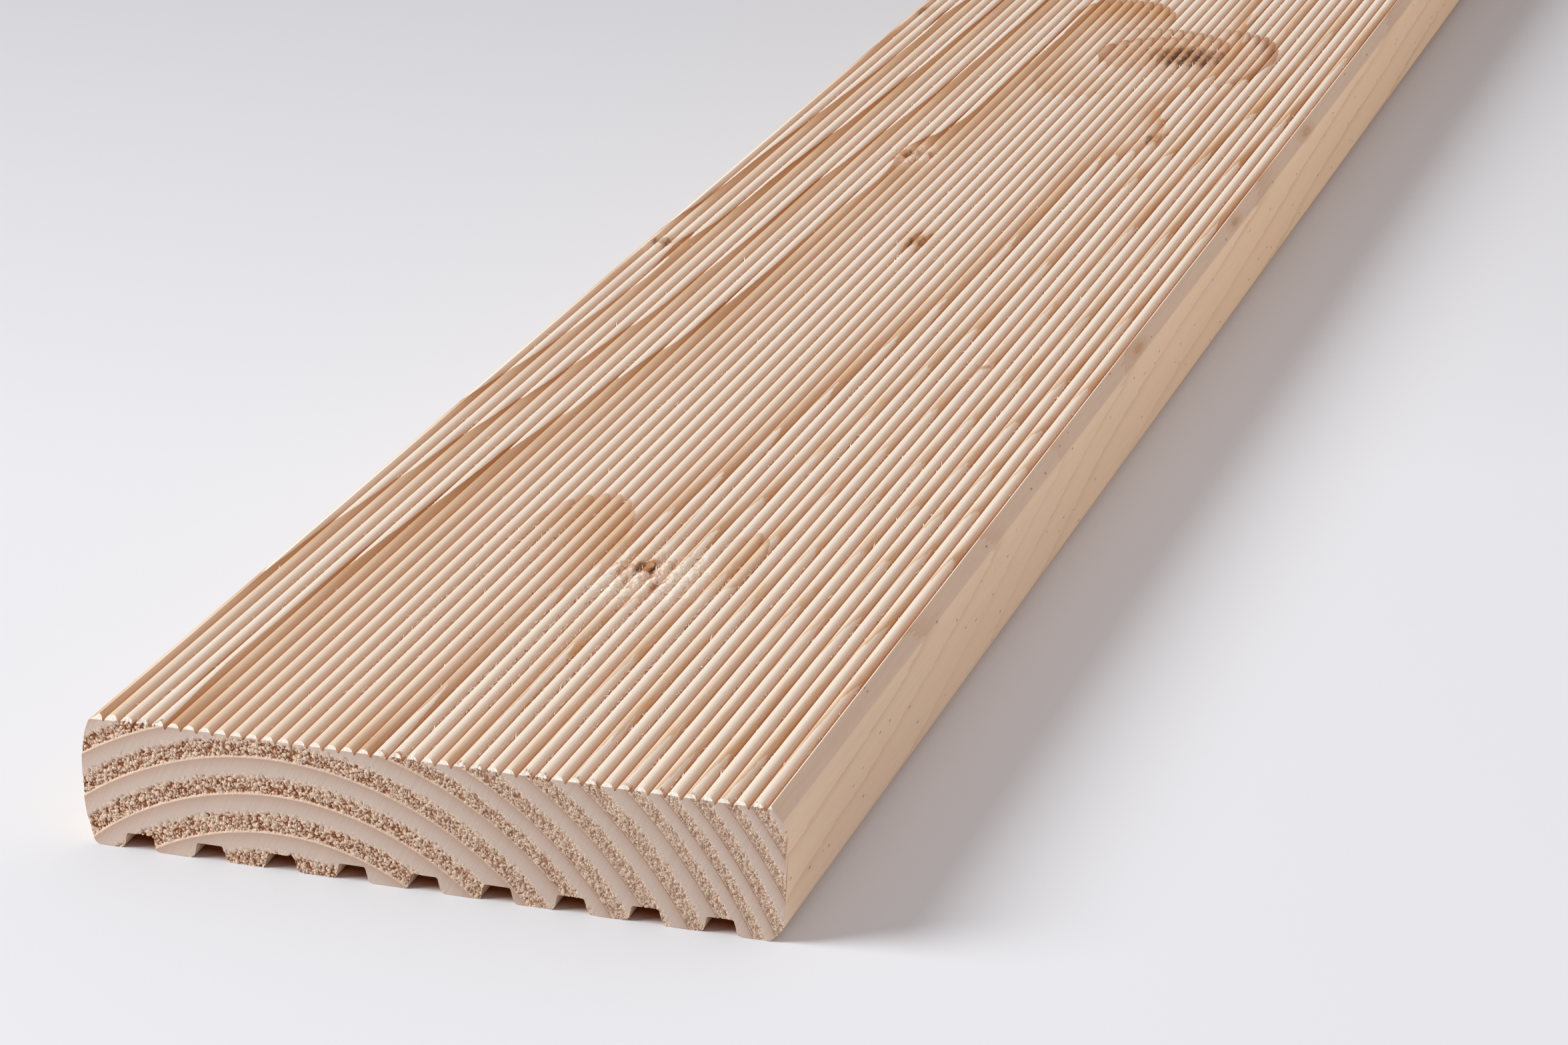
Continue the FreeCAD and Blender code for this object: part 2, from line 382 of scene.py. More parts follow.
def use_rings(tree, position, ragged):
    """Put the ring group in a tree, its edges frayed by about that many mm. Gives its three results."""
    node = tree.nodes.new("ShaderNodeGroup")
    node.node_tree = RINGS
    node.inputs["Ragged"].default_value = ragged
    tree.links.new(position, node.inputs[0])
    return tuple(Wire(tree, socket) for socket in node.outputs)


RINGS = make_rings_group()
print("ring nodes:", len(RINGS.nodes))

# %% [markdown]
# ## The planed faces
#
# Spring wood is pale and soft. Towards the end of each ring it darkens to a tan summer wood and then starts pale again
# with a crisp edge. Long soft streaks and short fibres run along the board.

# %% Planed wood
EARLY = paint(230, 214, 198)
LATE = paint(208, 169, 129)
LATE_EDGE = paint(166, 110, 68)
RESIN = paint(216, 164, 110)
ISLAND = paint(204, 158, 108)
SLOT_DUST_AND_SHADE = paint(196, 128, 66)
SIDE_WOOD = paint(234, 206, 178)
SIDE_WOOD_FAR = paint(248, 216, 180)
SPECK = paint(150, 96, 58)
CHANNEL_SHADE_WOOD = paint(192, 128, 84)
BAND_WOOD = paint(213, 187, 166)
KNOT_HALO = paint(202, 148, 98)
KNOT_CORE = paint(98, 54, 20)
KNOT_CREST = paint(174, 122, 76)
TORN_WHITE = paint(248, 237, 225)
TORN_GAP = paint(172, 112, 70)
REED_PITCH = 3.315
FIRST_CREST = -68.98


def inside_sides(x):
    """1 between the board's two sides, 0 at them."""
    return 1.0 - ramp(x.math("ABSOLUTE"), 69.0, 69.5)


def islands(x, s, z, ragged):
    """How strongly a point belongs to an island of summer wood, and to the dark line on its crisp side."""
    fill = 0.0
    line = 0.0
    # The crisp edge runs further along in the slots than on the crests, so it is stepped from reed to reed
    flat = Wire(x.tree, vector(x.tree, x, s + (z - TOP_HEIGHT) * -1.8))
    reach = 1.0 - ragged
    for across, along, half_width, half_length, right, far, dark, lined in ISLANDS:
        seen = from_spot(flat, across, along, half_width, half_length)
        away = vector_math(x.tree, "LENGTH", seen)
        side = vector_math(x.tree, "DOT_PRODUCT", seen, (right, far, 0.0))
        inside = away.math("LESS_THAN", reach)
        rim = inside * ramp(away, 0.8, 0.98) * ramp(side, 0.0, 0.7, 0.0, lined)
        fill = (inside * ramp(side, -0.75, 0.5, 0.0, dark)).math("MAXIMUM", fill)
        line = rim.math("MAXIMUM", line)
    return fill, line


def make_planed_group():
    tree, start, end = new_group(
        "planed wood", [("Position", "Vector"), ("Pit", "Float")],
        [("Color", "Color"), ("Roughness", "Float"), ("Height", "Float")])
    position = start.outputs["Position"]
    pit = Wire(tree, start.outputs["Pit"])
    x, s, z = millimetres(tree, position)
    share, knot, halo = use_rings(tree, position, 1.0)
    walking = ramp(z, 26.0, 26.5) * (1.0 - ramp(x, 69.5, 69.8))
    streak = cloudy(tree, vector(tree, x * 0.8, s * 0.011, z * 0.8), 3.0) - 0.5
    fibre = cloudy(tree, vector(tree, x * 5.0, s * 0.06, z * 5.0), 3.0, 0.6) - 0.5
    patch = cloudy(tree, vector(tree, x * 0.06, s * 0.009, z * 0.06), 2.0)
    shown = (1.0 - spots(x, s, FADED)) * (walking * 0.75 + 0.25)
    # Summer wood is broad on the left and narrow on the right
    summer = ramp(share, 0.3, 1.0).math("POWER", 1.4 + ramp(x, -20.0, 20.0) * 2.0)
    summer = summer * (0.5 + patch * 0.9) * shown + streak * 0.3
    summer = summer.math("MAXIMUM", 0.0).math("MINIMUM", 1.0)
    early = mix(tree, ramp(s, 60.0, 400.0) * ramp(x, 0.0, 60.0), SIDE_WOOD, SIDE_WOOD_FAR)
    early = mix(tree, walking, early, EARLY)
    # The knives left the slanted band above the right side a little rough
    band = ramp(z + fibre * 0.5, 24.7, 25.0) * ramp(x, 69.5, 69.8)
    fuzz = cloudy(tree, vector(tree, x * 0.7, s * 0.12, z * 0.7), 4.0, 0.7)
    early = mix(tree, band * (0.6 + fuzz * 0.4), early, BAND_WOOD)
    colour = mix(tree, summer, early, LATE)
    # The last of the summer wood is darkest, most of all on the left
    edge = ramp(share, 0.8, 0.985) * ramp(patch, 0.25, 0.6) * (0.34 + (1.0 - ramp(x, -30.0, 10.0)) * 0.5)
    colour = mix(tree, edge * (0.3 + shown * 0.7), colour, LATE_EDGE)
    # Resin shows as short orange marks just before the edge of a ring
    drop = cloudy(tree, vector(tree, x * 0.9, s * 0.12, z * 0.9), 2.0)
    resin = ramp(share, 0.75, 0.95) * ramp(drop, 0.5, 0.62) * walking * ramp(x, -30.0, 10.0)
    colour = mix(tree, resin * 0.5, colour, RESIN)
    fill, line = islands(x, s, z, fibre * 0.08 + (patch - 0.5) * 0.4)
    colour = mix(tree, fill * walking * 0.85, colour, ISLAND)
    colour = mix(tree, line * walking, colour, LATE_EDGE)
    colour = mix(tree, halo * 0.42, colour, KNOT_HALO)
    # The slots are painted brown, partly for the dust they keep and partly as painted shade, since they see little
    # light
    across = ((x - FIRST_CREST) / REED_PITCH + 0.5).math("FRACT") - 0.5
    lane = (across * -1.0 - 0.07).math("MAXIMUM", across)
    colour = mix(tree, ramp(lane, 0.22, 0.5, 0.0, 0.7) * walking, colour, SLOT_DUST_AND_SHADE)
    # The reeds are painted a little darker just left of their crests, a painted shade that tones down the lamp's
    # highlight there
    crest_flank_shade = ramp((across + 0.17).math("ABSOLUTE"), 0.0, 0.2, 0.06, 0.0) * walking
    # The channels' walls and roofs are painted darker and browner, a painted shade for their dim insides
    channel_shade = ramp(z, 2.0, 3.1) * (1.0 - ramp(z, 3.4, 3.6)) * inside_sides(x)
    colour = mix(tree, channel_shade * 0.7, colour, CHANNEL_SHADE_WOOD)
    # Small brown specks on the sides
    dot = cells(tree, vector(tree, x * 0.3, s * 0.11, z * 0.3), "F1")
    colour = mix(tree, (1.0 - ramp(dot, 0.06, 0.1)) * (1.0 - walking) * 0.6, colour, SPECK)
    # Fibres torn up beside the slots, mostly in the soft spring wood
    beside = ramp(lane, 0.26, 0.38) * walking
    flecked = spots(x, s, FLECKED).math("MINIMUM", 1.0) * ramp(fuzz, 0.35, 0.55)
    crumb = cells(tree, vector(tree, x * 1.9, s * 1.1, z * 1.9), "F1") - flecked * 0.2
    speck = (1.0 - ramp(crumb, 0.10, 0.17)) * beside * (1.0 - ramp(share, 0.3, 0.7) * (1.0 - flecked))
    colour = mix(tree, speck * 0.9, colour, TORN_WHITE)
    blotch = cells(tree, vector(tree, x * 0.8 + 7.0, s * 0.35, z * 0.8), "F1")
    nick = (1.0 - ramp(blotch - flecked * 0.16, 0.05, 0.09)) * beside
    colour = mix(tree, nick * (flecked * 0.3 + 0.6), colour, TORN_GAP)
    # Torn spots beside knots are a mess of white crumbs and brown gaps; their sunken points are painted brown by how
    # deep they went, partly for the torn wood and partly as painted shade
    torn = spots(x, s, TORN_SPOTS) * walking + band * ramp(fuzz, 0.55, 0.7) * 0.2
    colour = mix(tree, ramp(torn, 0.2, 0.8) * (1.0 - ramp(pit, 0.1, 0.4)) * 0.4, colour, TORN_WHITE)
    colour = mix(tree, ramp(pit, 0.25, 0.65) * 0.85, colour, TORN_GAP)
    core = mix(tree, ramp(lane, 0.12, 0.3) * walking * ramp(blotch, 0.15, 0.6), KNOT_CREST, KNOT_CORE)
    colour = mix(tree, knot * ramp(blotch, 0.1, 0.6, 0.5, 1.0), colour, core)
    colour = brighten(tree, colour, streak * 0.14 + fibre * 0.16 - crest_flank_shade)
    tree.links.new(colour, end.inputs["Color"])
    tree.links.new((0.55 + torn * 0.2).socket, end.inputs["Roughness"])
    tree.links.new((fibre * 0.05).socket, end.inputs["Height"])
    return tree


# %% [markdown]
# ## The sawn end
#
# A saw cuts summer wood cleanly and tears spring wood into clumps with deep gaps between them, painted brown
# partly for the torn wood and partly as painted shade. The torn band starts at the crisp edge of each ring and fades
# into dots. The smooth band has fine slanting scratches from the saw.
# Towards the right the tearing gets finer and shallower.

# %% Sawn end
SMOOTH_END = paint(210, 189, 175)
SHADED_END = paint(192, 158, 138)
LIP_HIGHLIGHT = paint(230, 206, 186)
LIP_SHADOW = paint(172, 132, 108)
CLUMP = paint(246, 218, 192)
GAP_WOOD_AND_SHADE = paint(150, 86, 50)
SCRATCH_TILT = math.radians(63)


def make_end_group():
    tree, start, end = new_group(
        "sawn end", [("Position", "Vector"), ("Pit", "Float")],
        [("Color", "Color"), ("Roughness", "Float"), ("Height", "Float")])
    position = start.outputs["Position"]
    x, s, z = millimetres(tree, position)
    share, knot, _ = use_rings(tree, position, 0.0)
    pit = Wire(tree, start.outputs["Pit"])
    along = x * math.cos(SCRATCH_TILT) + z * math.sin(SCRATCH_TILT)
    across = x * math.sin(SCRATCH_TILT) - z * math.cos(SCRATCH_TILT)
    dither = cloudy(tree, vector(tree, x * 2.0, 0.0, z * 2.0), 3.0, 0.6)
    torn = ramp(0.56 + (dither - 0.5) * 0.7 - share, 0.0, 0.1)
    clump_size = cloudy(tree, vector(tree, x * 0.5, 5.0, z * 0.5), 2.0)
    clump = cells(tree, vector(tree, across * 1.9 + dither * 0.7, 0.0, along * 1.4 + clump_size))
    calm = ramp(x, -20.0, 45.0)
    gap = (1.0 - ramp(clump, 0.02, 0.11)) * torn * 0.35
    scratch = cloudy(tree, vector(tree, across * 3.2, 0.0, along * 0.07), 3.0, 0.6) - 0.5
    shade = ramp(share, 0.62, 0.97).math("POWER", 1.6)
    colour = mix(tree, shade * (0.85 - calm * 0.1), SMOOTH_END, SHADED_END)
    # The lip of a ring has a painted highlight on the left and a painted shadow on the right
    lip = mix(tree, calm, LIP_HIGHLIGHT, LIP_SHADOW)
    colour = mix(tree, ramp(share, 0.972, 0.985), colour, lip)
    colour = mix(tree, torn * (0.9 - calm * 0.2), colour, CLUMP)
    # Gaps and pits are painted brown, partly for the torn wood and partly as painted shade in the recesses; less of it
    # on the right
    colour = mix(tree, gap, colour, GAP_WOOD_AND_SHADE)
    colour = mix(tree, ramp(pit, 0.28, 0.66) * (0.98 - calm * 0.43), colour, GAP_WOOD_AND_SHADE)
    colour = mix(tree, knot, colour, KNOT_CORE)
    # Saw scratches lighten and darken the end, and it is painted darker towards the right as painted shade for the
    # light falling off across it
    colour = brighten(tree, colour, scratch * (0.26 - torn * 0.16) - ramp(x, -60.0, 30.0) * 0.09)
    tree.links.new(colour, end.inputs["Color"])
    tree.links.new((0.6 + torn * 0.2).socket, end.inputs["Roughness"])
    height = ramp(clump, 0.0, 0.3) * ramp(pit, 0.01, 0.1) * 0.07 + scratch * 0.03
    tree.links.new(height.socket, end.inputs["Height"])
    return tree


# %% The bevel at the end of each reed, torn white
def make_bevel_group():
    tree, start, end = new_group(
        "torn bevel", [("Position", "Vector")],
        [("Color", "Color"), ("Roughness", "Float"), ("Height", "Float")])
    position = start.outputs["Position"]
    x, s, z = millimetres(tree, position)
    crumb = cloudy(tree, vector(tree, x * 3.0, s * 3.0, z * 3.0), 3.0, 0.65)
    colour = mix(tree, ramp(crumb, 0.3, 0.5), paint(226, 204, 184), TORN_WHITE)
    tree.links.new(colour, end.inputs["Color"])
    end.inputs["Roughness"].default_value = 0.8
    tree.links.new((crumb * 0.25).socket, end.inputs["Height"])
    return tree


# %% From groups to finishes
def make_finish(name, group, shine, pit_attribute=None):
    """A material whose colour, roughness and bump all come from one group."""
    material = bpy.data.materials.new(name)
    material.use_nodes = True
    tree = material.node_tree
    shader = tree.nodes["Principled BSDF"]
    look = tree.nodes.new("ShaderNodeGroup")
    look.node_tree = group
    place = tree.nodes.new("ShaderNodeTexCoord")
    tree.links.new(place.outputs["Object"], look.inputs["Position"])
    if pit_attribute:
        attribute = tree.nodes.new("ShaderNodeAttribute")
        attribute.attribute_name = pit_attribute
        tree.links.new(attribute.outputs["Fac"], look.inputs["Pit"])
    bump = tree.nodes.new("ShaderNodeBump")
    bump.inputs["Strength"].default_value = 1.0
    bump.inputs["Distance"].default_value = MM
    tree.links.new(look.outputs["Height"], bump.inputs["Height"])
    tree.links.new(bump.outputs[0], shader.inputs["Normal"])
    tree.links.new(look.outputs["Color"], shader.inputs["Base Color"])
    tree.links.new(look.outputs["Roughness"], shader.inputs["Roughness"])
    shader.inputs["Specular IOR Level"].default_value = shine
    return material


planed_finish = make_finish("planed softwood", make_planed_group(), 0.15, "pit")
end_finish = make_finish("sawn end grain", make_end_group(), 0.12, "pit")
bevel_finish = make_finish("torn bevel", make_bevel_group(), 0.2)

# %% [markdown]
# ## The section
#
# One flat face in the shape of the board's section, as the planer's knives cut it: 43 reeds on top, channels and feet
# below. It is drawn once with sharp corners, and the corners are then rounded with the bevel operator.

# %% Section sizes in millimetres
HALF_WIDTH = 72.5
THICKNESS = 28.0
REED_COUNT = 43
REED_HALF = 1.485
REED_RISE = 1.3
SLOT_FLOOR = THICKNESS - REED_RISE
REED_RADIUS = (REED_RISE ** 2 + REED_HALF ** 2) / (2 * REED_RISE)
REED_STEPS = 8
CHANNEL_PITCH = 15.05
CHANNEL_COUNT = 9
FIRST_CHANNEL = -60.85
CHANNEL_DEPTH = 3.3
ROOF_HALF = 2.7
MOUTH_HALF = 3.5
END_BEVEL = 0.65


def side_curve(straight, end, fall, steps):
    """Points down or up the soft left side, which falls away from upright by a little."""
    reach = end - straight
    radius = (fall ** 2 + reach ** 2) / (2 * fall)
    points = []
    for step in range(1, steps + 1):
        z = straight + reach * step / steps
        inward = radius - math.sqrt(radius ** 2 - (z - straight) ** 2)
        points.append((-HALF_WIDTH + inward, z))
    return points


def section_corners():
    """The outline, anticlockwise as seen from the photographed end, as (across, up, rounding)."""
    corners = [(-70.4, 0.0, 1.052)]
    for index in range(CHANNEL_COUNT):
        centre = FIRST_CHANNEL + CHANNEL_PITCH * index
        corners.append((centre - MOUTH_HALF, 0.0, 0.708))
        corners.append((centre - ROOF_HALF, CHANNEL_DEPTH, 0.393))
        corners.append((centre + ROOF_HALF, CHANNEL_DEPTH, 0.393))
        corners.append((centre + MOUTH_HALF, 0.0, 0.708))
    corners.append((69.5, 0.0, 0.606))
    corners.append((72.5, 3.1, 1.616))
    corners.append((72.5, 24.35, 1.468))
    corners.append((69.548, 27.826, 0.0))
    half_angle = math.asin(REED_HALF / REED_RADIUS)
    for index in reversed(range(REED_COUNT)):
        crest = FIRST_CREST + REED_PITCH * index
        for step in range(REED_STEPS + 1):
            angle = half_angle * (1 - 2 * step / REED_STEPS)
            x = crest + REED_RADIUS * math.sin(angle)
            z = THICKNESS - REED_RADIUS * (1 - math.cos(angle))
            if -68.9 < x < 69.5:
                corners.append((x, z, 0.0))
    corners.append((-70.57, 26.55, 0.0))
    for x, z in reversed(side_curve(17.0, 26.55, 1.87, 5)[:-1]):
        corners.append((x, z, 0.0))
    corners.append((-HALF_WIDTH, 17.0, 0.0))
    corners.append((-HALF_WIDTH, 12.0, 0.0))
    for x, z in side_curve(12.0, 0.0, 2.1, 6)[:-1]:
        corners.append((x, z, 0.0))
    return corners


def section_face(bm, y):
    """One flat face in the shape of the section, y mm along the board."""
    corners = section_corners()
    verts = [bm.verts.new((x * MM, y * MM, z * MM)) for x, z, _ in corners]
    bm.faces.new(verts)
    for rounding in sorted({r for _, _, r in corners if r}):
        sharp = [v for v, (_, _, r) in zip(verts, corners) if r == rounding]
        bmesh.ops.bevel(bm, geom=sharp, affect="VERTICES", offset=rounding * MM,
                        offset_type="OFFSET", segments=4, profile=0.5, material=-1)
    return bm.faces[:] if len(bm.faces) == 1 else list(bm.faces)


print("section corners:", len(section_corners()))

# %% From a section to a length of board
def extrude_section(start, end):
    """A plain length of board between two places along it, in mm."""
    bm = bmesh.new()
    faces = section_face(bm, start)
    made = bmesh.ops.extrude_face_region(bm, geom=faces)
    moved = [item for item in made["geom"] if isinstance(item, bmesh.types.BMVert)]
    bmesh.ops.translate(bm, verts=moved, vec=(0, (end - start) * MM, 0))
    bmesh.ops.recalc_face_normals(bm, faces=bm.faces)
    return bm


def plane_off_crests(bm, side):
    """Cut the reeds' crests off at a slant at one end. The side is -1 for the photographed end.

    The second cut leans to the left, so the first few reeds lose more.
    """
    for across, lean in ((0.0, 0.0), (-60.0, -0.05)):
        cut = bmesh.ops.bisect_plane(
            bm, geom=bm.verts[:] + bm.edges[:] + bm.faces[:], clear_outer=True,
            plane_co=(across * MM, side * HALF_LENGTH * MM, (THICKNESS - END_BEVEL) * MM),
            plane_no=(lean, side, 1))
        rim = [item for item in cut["geom_cut"] if isinstance(item, bmesh.types.BMEdge)]
        made = bmesh.ops.holes_fill(bm, edges=rim, sides=0)
        for face in made["faces"]:
            face.material_index = 2
    bmesh.ops.recalc_face_normals(bm, faces=bm.faces)


def show(bm, name, sharp_angle=30):
    """Turn the bmesh into a piece of the board."""
    mesh = bpy.data.meshes.new(name)
    bm.to_mesh(mesh)
    bm.free()
    for material in (planed_finish, end_finish, bevel_finish):
        mesh.materials.append(material)
    mesh.shade_smooth()
    mesh.set_sharp_from_angle(angle=math.radians(sharp_angle))
    piece = bpy.data.objects.new(name, mesh)
    bpy.context.scene.collection.objects.link(piece)
    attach(piece, "root")
    triangles = sum(len(face.vertices) - 2 for face in mesh.polygons)
    print(name, "triangles:", triangles)
    return piece


END_DEPTH = 3.0
TORN_STEP = 0.45
TORN_DEPTH = 0.6


def cut_torn_spots(bm):
    """Cut the reeds across, close together, wherever a torn spot needs points to move."""
    for across, along, half_width, half_length, _ in TORN_SPOTS:
        low = (across - 1.5 * half_width) * MM
        high = (across + 1.5 * half_width) * MM
        region = set()
        for face in bm.faces:
            xs = [v.co.x for v in face.verts]
            if min(v.co.z for v in face.verts) > (SLOT_FLOOR - 0.02) * MM and max(xs) > low and min(xs) < high:
                region.update((face, *face.edges, *face.verts))
        region = list(region)
        for index in range(int(3.0 * half_length / TORN_STEP) + 1):
            place = along - 1.5 * half_length + TORN_STEP * index - HALF_LENGTH
            cut = bmesh.ops.bisect_plane(bm, geom=region, plane_co=(0, place * MM, 0), plane_no=(0, 1, 0))
            region = cut["geom"]


def tear_spots(bm):
    """Sink the points of the torn spots by uneven amounts, and keep how deep each went."""
    pit = bm.verts.layers.float.new("pit")
    for vert in bm.verts:
        x, s, z = vert.co.x / MM, vert.co.y / MM + HALF_LENGTH, vert.co.z / MM
        if z > SLOT_FLOOR + 0.05 and END_DEPTH + 1 < s < 2 * HALF_LENGTH - END_DEPTH - 1:
            torn = min(1.0, spots(x, s, TORN_SPOTS))
            if torn > 0.05:
                near, _ = noise.voronoi(Vector((x * 0.8, s * 0.55, z * 0.8)))
                gap = 1.0 - min(1.0, (near[1] - near[0]) / 0.35)
                lump = noise.noise(Vector((x * 0.5, s * 0.22, z * 0.5)))
                vert[pit] = torn * max(0.0, min(1.0, 0.05 + gap * 0.5 + lump * 0.9))
                vert.co.z -= vert[pit] * TORN_DEPTH * MM


board_bm = extrude_section(-HALF_LENGTH + END_DEPTH, HALF_LENGTH - END_DEPTH)
cut_torn_spots(board_bm)
tear_spots(board_bm)
board = show(board_bm, "board")
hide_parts("decking_board")

# %% [markdown]
# ## Splinters
#
# Along the slots the knives lift short fibres out of the soft spring wood. Each is a thin cone that leans out of the
# reed's flank, and they're white because the torn wood is fresh.

# %% Splinters beside the slots
SPLINTERS_NEAR = 5200
SPLINTERS_FAR = 1800
BATCH = 200


def splinter_places():
    """Where splinters stand, as reed, side of the reed and place along the board. Most are in soft spring wood."""
    rng = np.random.default_rng(11)
    places = []
    everywhere = (1, REED_COUNT - 1)
    for count, start, end, reeds in ((SPLINTERS_NEAR, 2.0, 760.0, everywhere), (SPLINTERS_FAR, 760.0, 1798.0, everywhere),
                                     (SPLINTERS_NEAR // 4, 25.0, 125.0, (12, 32))):
        tries = count * 3
        crest = FIRST_CREST + REED_PITCH * rng.integers(*reeds, tries)
        side = rng.choice((-1.0, 1.0), tries)
        s = rng.uniform(start, end, tries)
        share = ring_share(crest + side * 1.3, s, 27.0)
        kept = rng.random(tries) < 0.06 + 0.94 * (1.0 - ramp(share, 0.15, 0.55))
        found = np.stack((crest, side, s), axis=1)[kept][:count]
        places.extend(found.tolist())
    return places


def add_splinters():
    rng = random.Random(5)
    half_angle = math.asin(REED_HALF / REED_RADIUS)
    everything = bmesh.new()
    places = splinter_places()
    for first in range(0, len(places), BATCH):
        bm = bmesh.new()
        for crest, side, s in places[first:first + BATCH]:
            angle = half_angle * rng.uniform(0.72, 0.98)
            foot = Vector((crest + side * REED_RADIUS * math.sin(angle), s - HALF_LENGTH,
                           THICKNESS - REED_RADIUS * (1 - math.cos(angle))))
            way = Vector((side * rng.uniform(0.0, 0.5), rng.choice((-1, -1, 1)), rng.uniform(0.0, 0.45)))
            length = rng.uniform(0.4, 1.1) if rng.random() < 0.8 else rng.uniform(1.1, 2.4)
            turn = way.to_track_quat("Z", "Y").to_matrix().to_4x4()
            middle = foot + way.normalized() * length * 0.4
            turn.translation = middle * MM
            bmesh.ops.create_cone(
                bm, cap_ends=True, cap_tris=True, segments=3, matrix=turn, depth=length * MM,
                radius1=rng.uniform(0.1, 0.24) * MM, radius2=0.015 * MM)
        # No splinter stands higher than the crests
        for vert in bm.verts:
            vert.co.z = min(vert.co.z, (THICKNESS - 0.02) * MM)
        batch = bpy.data.meshes.new("batch")
        bm.to_mesh(batch)
        bm.free()
        everything.from_mesh(batch)
        bpy.data.meshes.remove(batch)
    for face in everything.faces:
        face.material_index = 2
    return show(everything, "splinters")


add_splinters()

# %% [markdown]
# ## Torn ends
#
# Each end is its own short slice of the board. Its sawn face is cut into a fine grid by many planes, and the points of
# the grid are then pushed into the wood where the saw has torn the spring wood out.

# %% Cut a sawn face into a grid
def cut_grid(bm, side, step):
    """Cut the sawn face, and nothing else, into squares of about step mm."""
    outside = [f for f in bm.faces if f.normal.y * side > 0.99]
    for face in outside:
        face.material_index = 1
    region = set()
    for face in bm.faces:
        if face.material_index >= 1:
            region.update((face, *face.edges, *face.verts))
    region = list(region)
    for axis, low, high in (((1, 0, 0), -HALF_WIDTH, HALF_WIDTH), ((0, 0, 1), 0.0, THICKNESS)):
        for index in range(1, int((high - low) / step)):
            place = low + index * step
            cut = bmesh.ops.bisect_plane(bm, geom=region, plane_no=axis,
                                         plane_co=tuple(a * place * MM for a in axis))
            region = cut["geom"]


def tear(piece, side):
    """Push the points of the sawn face into the wood where it is torn, and keep how deep each went."""
    mesh = piece.data
    count = len(mesh.vertices)
    places = np.empty(count * 3)
    mesh.vertices.foreach_get("co", places)
    places = places.reshape(-1, 3)
    x, s, z = places[:, 0] / MM, places[:, 1] / MM + HALF_LENGTH, places[:, 2] / MM
    on_face = np.abs(places[:, 1] / MM - side * HALF_LENGTH) < 0.7
    share = ring_share(x, s, z)
    pit = np.zeros(count)
    for index in np.nonzero(on_face)[0]:
        # The crumbs are finer towards the right
        fine = max(0.0, x[index] + 20.0)
        spot = Vector((x[index] * 1.5 + fine * fine * 0.007, side * 7.0, z[index] * (1.15 + fine * 0.008)))
        near, centres = noise.voronoi(spot)
        gap = 1.0 - min(1.0, (near[1] - near[0]) / 0.27)
        lump = noise.noise(centres[0] * 3.7)
        edge = 0.53 + noise.noise(spot * 1.2) * 0.13
        torn = min(1.0, max(0.0, (edge - share[index]) / 0.12)) * min(1.0, share[index] / 0.03)
        deep = gap * (0.75 + lump * 0.5) + (1.0 - gap) * max(0.0, 0.12 + lump * 0.6)
        pit[index] = torn * max(0.0, min(1.0, deep))
    # The tearing is shallower towards the right
    places[:, 1] -= side * pit * (1.0 - ramp(x, -20.0, 40.0) * 0.35) * 0.55 * MM
    mesh.vertices.foreach_set("co", places.ravel())
    attribute = mesh.attributes.new("pit", "FLOAT", "POINT")
    attribute.data.foreach_set("value", pit.astype(np.float32))
    mesh.update()


FRONT_STEP = 0.21
for name, side, step in (("front_end", -1, FRONT_STEP), ("back_end", 1, 0.32)):
    slice_bm = extrude_section(side * (HALF_LENGTH - END_DEPTH), side * HALF_LENGTH)
    plane_off_crests(slice_bm, side)
    cut_grid(slice_bm, side, step)
    slice_piece = show(slice_bm, name, 50)
    tear(slice_piece, side)

# %% [markdown]
# ## Floor, light and camera
#
# A pale floor, painted darker far away, to the left and under the board as painted shade; one soft lamp from the left
# and a pale room.

# %% Floor
FLOOR_NEAR = paint(220, 221, 226)
FLOOR_FAR = paint(190, 190, 195)
FLOOR_SHADE_UNDER_BOARD = paint(188, 120, 74)


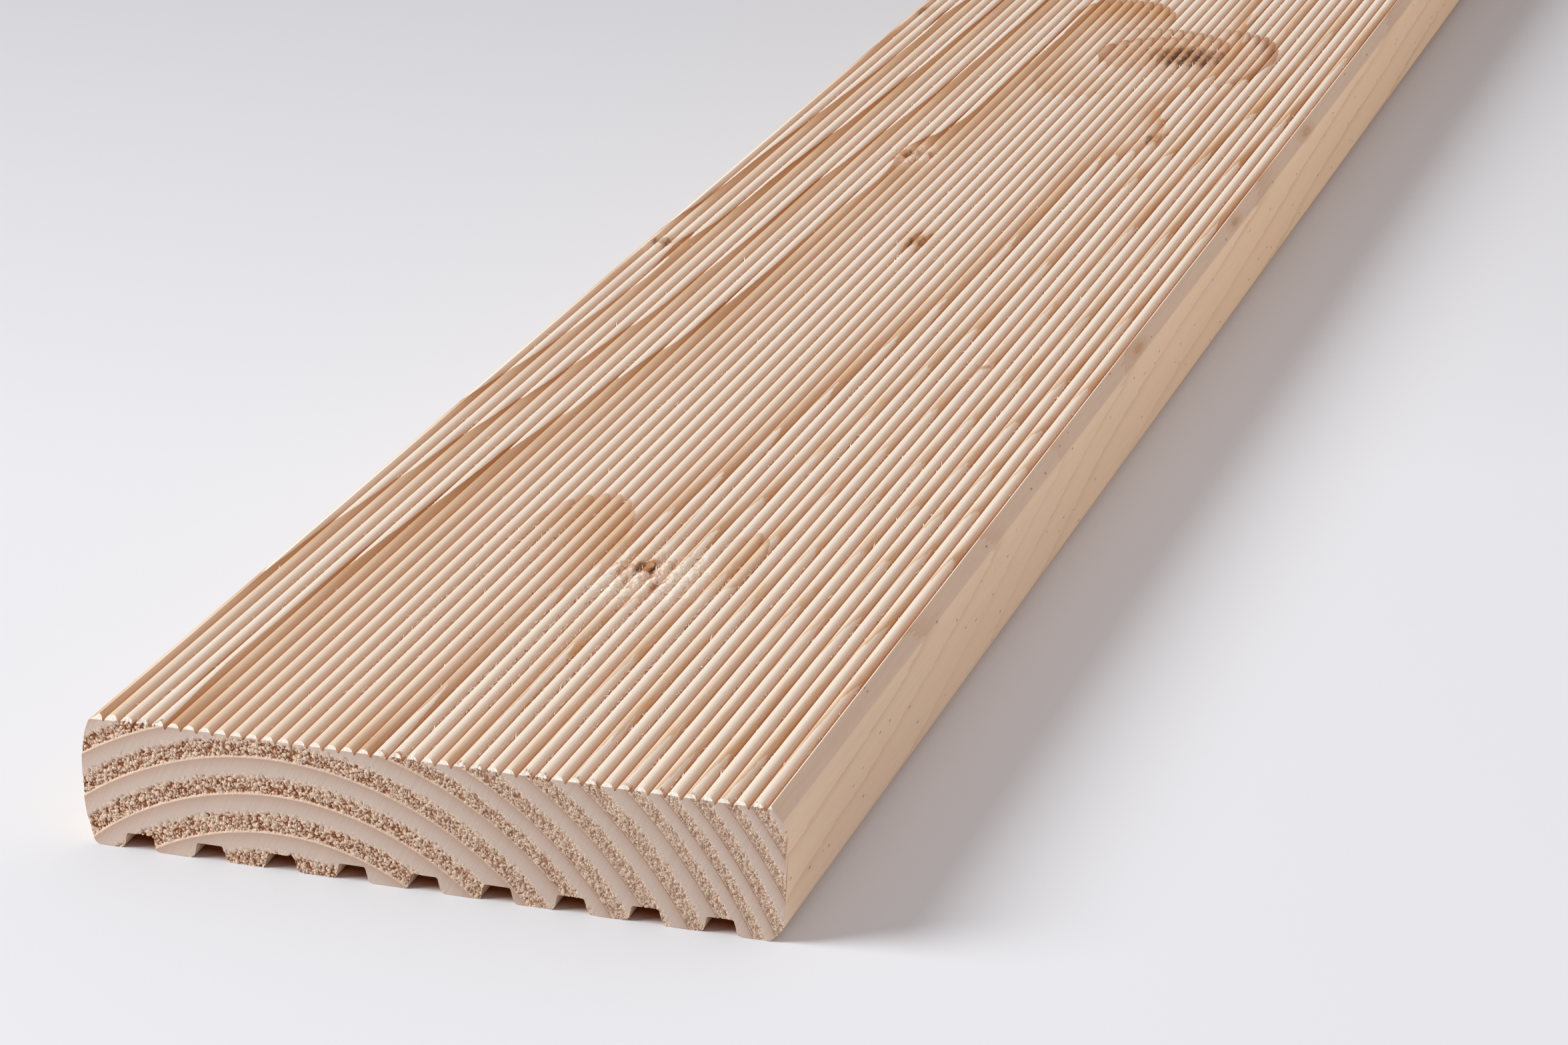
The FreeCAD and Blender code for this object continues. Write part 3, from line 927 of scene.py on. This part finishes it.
def make_floor():
    bm = bmesh.new()
    bmesh.ops.create_grid(bm, x_segments=1, y_segments=1, size=9.0)
    mesh = bpy.data.meshes.new("floor")
    bm.to_mesh(mesh)
    bm.free()
    floor = bpy.data.objects.new("floor", mesh)
    floor.location.z = -0.00005
    bpy.context.scene.collection.objects.link(floor)
    material = bpy.data.materials.new("floor")
    material.use_nodes = True
    shader = material.node_tree.nodes["Principled BSDF"]
    tree = material.node_tree
    place = tree.nodes.new("ShaderNodeTexCoord")
    split = tree.nodes.new("ShaderNodeSeparateXYZ")
    tree.links.new(place.outputs["Object"], split.inputs[0])
    # The floor is painted darker far away and a little darker to the left, a painted shade for the lamp's light
    # falling off
    away = Wire(tree, split.outputs[1]) + Wire(tree, split.outputs[0]) * -0.324
    painted_falloff = ramp(away, -0.66, 0.02)
    # Under the board the floor is painted brown as painted shade, and the channels show a little of it
    x, s, z = millimetres(tree, place.outputs["Object"])
    shade_under_board = 1.0 - ramp(x.math("ABSOLUTE"), 68.0, 70.0)
    shade_under_board = shade_under_board * ramp(s, 0.0, 5.0) * (1.0 - ramp(s, 1795.0, 1800.0))
    colour = brighten(tree, mix(tree, painted_falloff, FLOOR_NEAR, FLOOR_FAR), ramp(x, -700.0, 700.0, -0.05, 0.05))
    colour = mix(tree, shade_under_board, colour, FLOOR_SHADE_UNDER_BOARD)
    tree.links.new(colour, shader.inputs["Base Color"])
    shader.inputs["Roughness"].default_value = 0.6
    shader.inputs["Specular IOR Level"].default_value = 0.2
    mesh.materials.append(material)


make_floor()

# %% Light
LAMP_HEIGHT = math.radians(35)
LAMP_TURN = math.radians(22)
LAMP_AWAY = 4.2


def make_light():
    lamp = bpy.data.lights.new("softbox", "AREA")
    lamp.shape = "DISK"
    lamp.size = 2.15
    lamp.energy = 214
    lamp.color = (0.95, 0.995, 1.0)
    softbox = bpy.data.objects.new("softbox", lamp)
    flat = math.cos(LAMP_HEIGHT)
    way = Vector((-flat * math.cos(LAMP_TURN), -flat * math.sin(LAMP_TURN), math.sin(LAMP_HEIGHT)))
    softbox.location = Vector((0, -0.8, 0)) + way * LAMP_AWAY
    softbox.rotation_euler = way.to_track_quat("Z", "Y").to_euler()
    bpy.context.scene.collection.objects.link(softbox)
    world = bpy.data.worlds.new("room")
    bpy.context.scene.world = world
    world.use_nodes = True
    room = world.node_tree.nodes["Background"]
    # The room is brighter behind and to the right than in front, where the camera stands
    way = world.node_tree.nodes.new("ShaderNodeTexCoord")
    split = world.node_tree.nodes.new("ShaderNodeSeparateXYZ")
    world.node_tree.links.new(way.outputs["Object"], split.inputs[0])
    x, y, _ = (Wire(world.node_tree, socket) for socket in split.outputs)
    strength = (x * 0.45 + y * 0.55 + 1.0) * 0.54
    world.node_tree.links.new(strength.socket, room.inputs["Strength"])
    room.inputs["Color"].default_value = (1.0, 0.925, 0.905, 1.0)


make_light()

# %% Camera
def make_camera():
    lens = bpy.data.cameras.new("camera")
    lens.lens = 102.79
    lens.sensor_width = 36.0
    camera = bpy.data.objects.new("camera", lens)
    camera.location = (0.3057, -1.6198, 0.3782)
    camera.rotation_euler = (math.radians(68.818), 0.0, math.radians(17.972))
    bpy.context.scene.collection.objects.link(camera)
    bpy.context.scene.camera = camera


make_camera()
bpy.context.scene.view_settings.view_transform = "Standard"
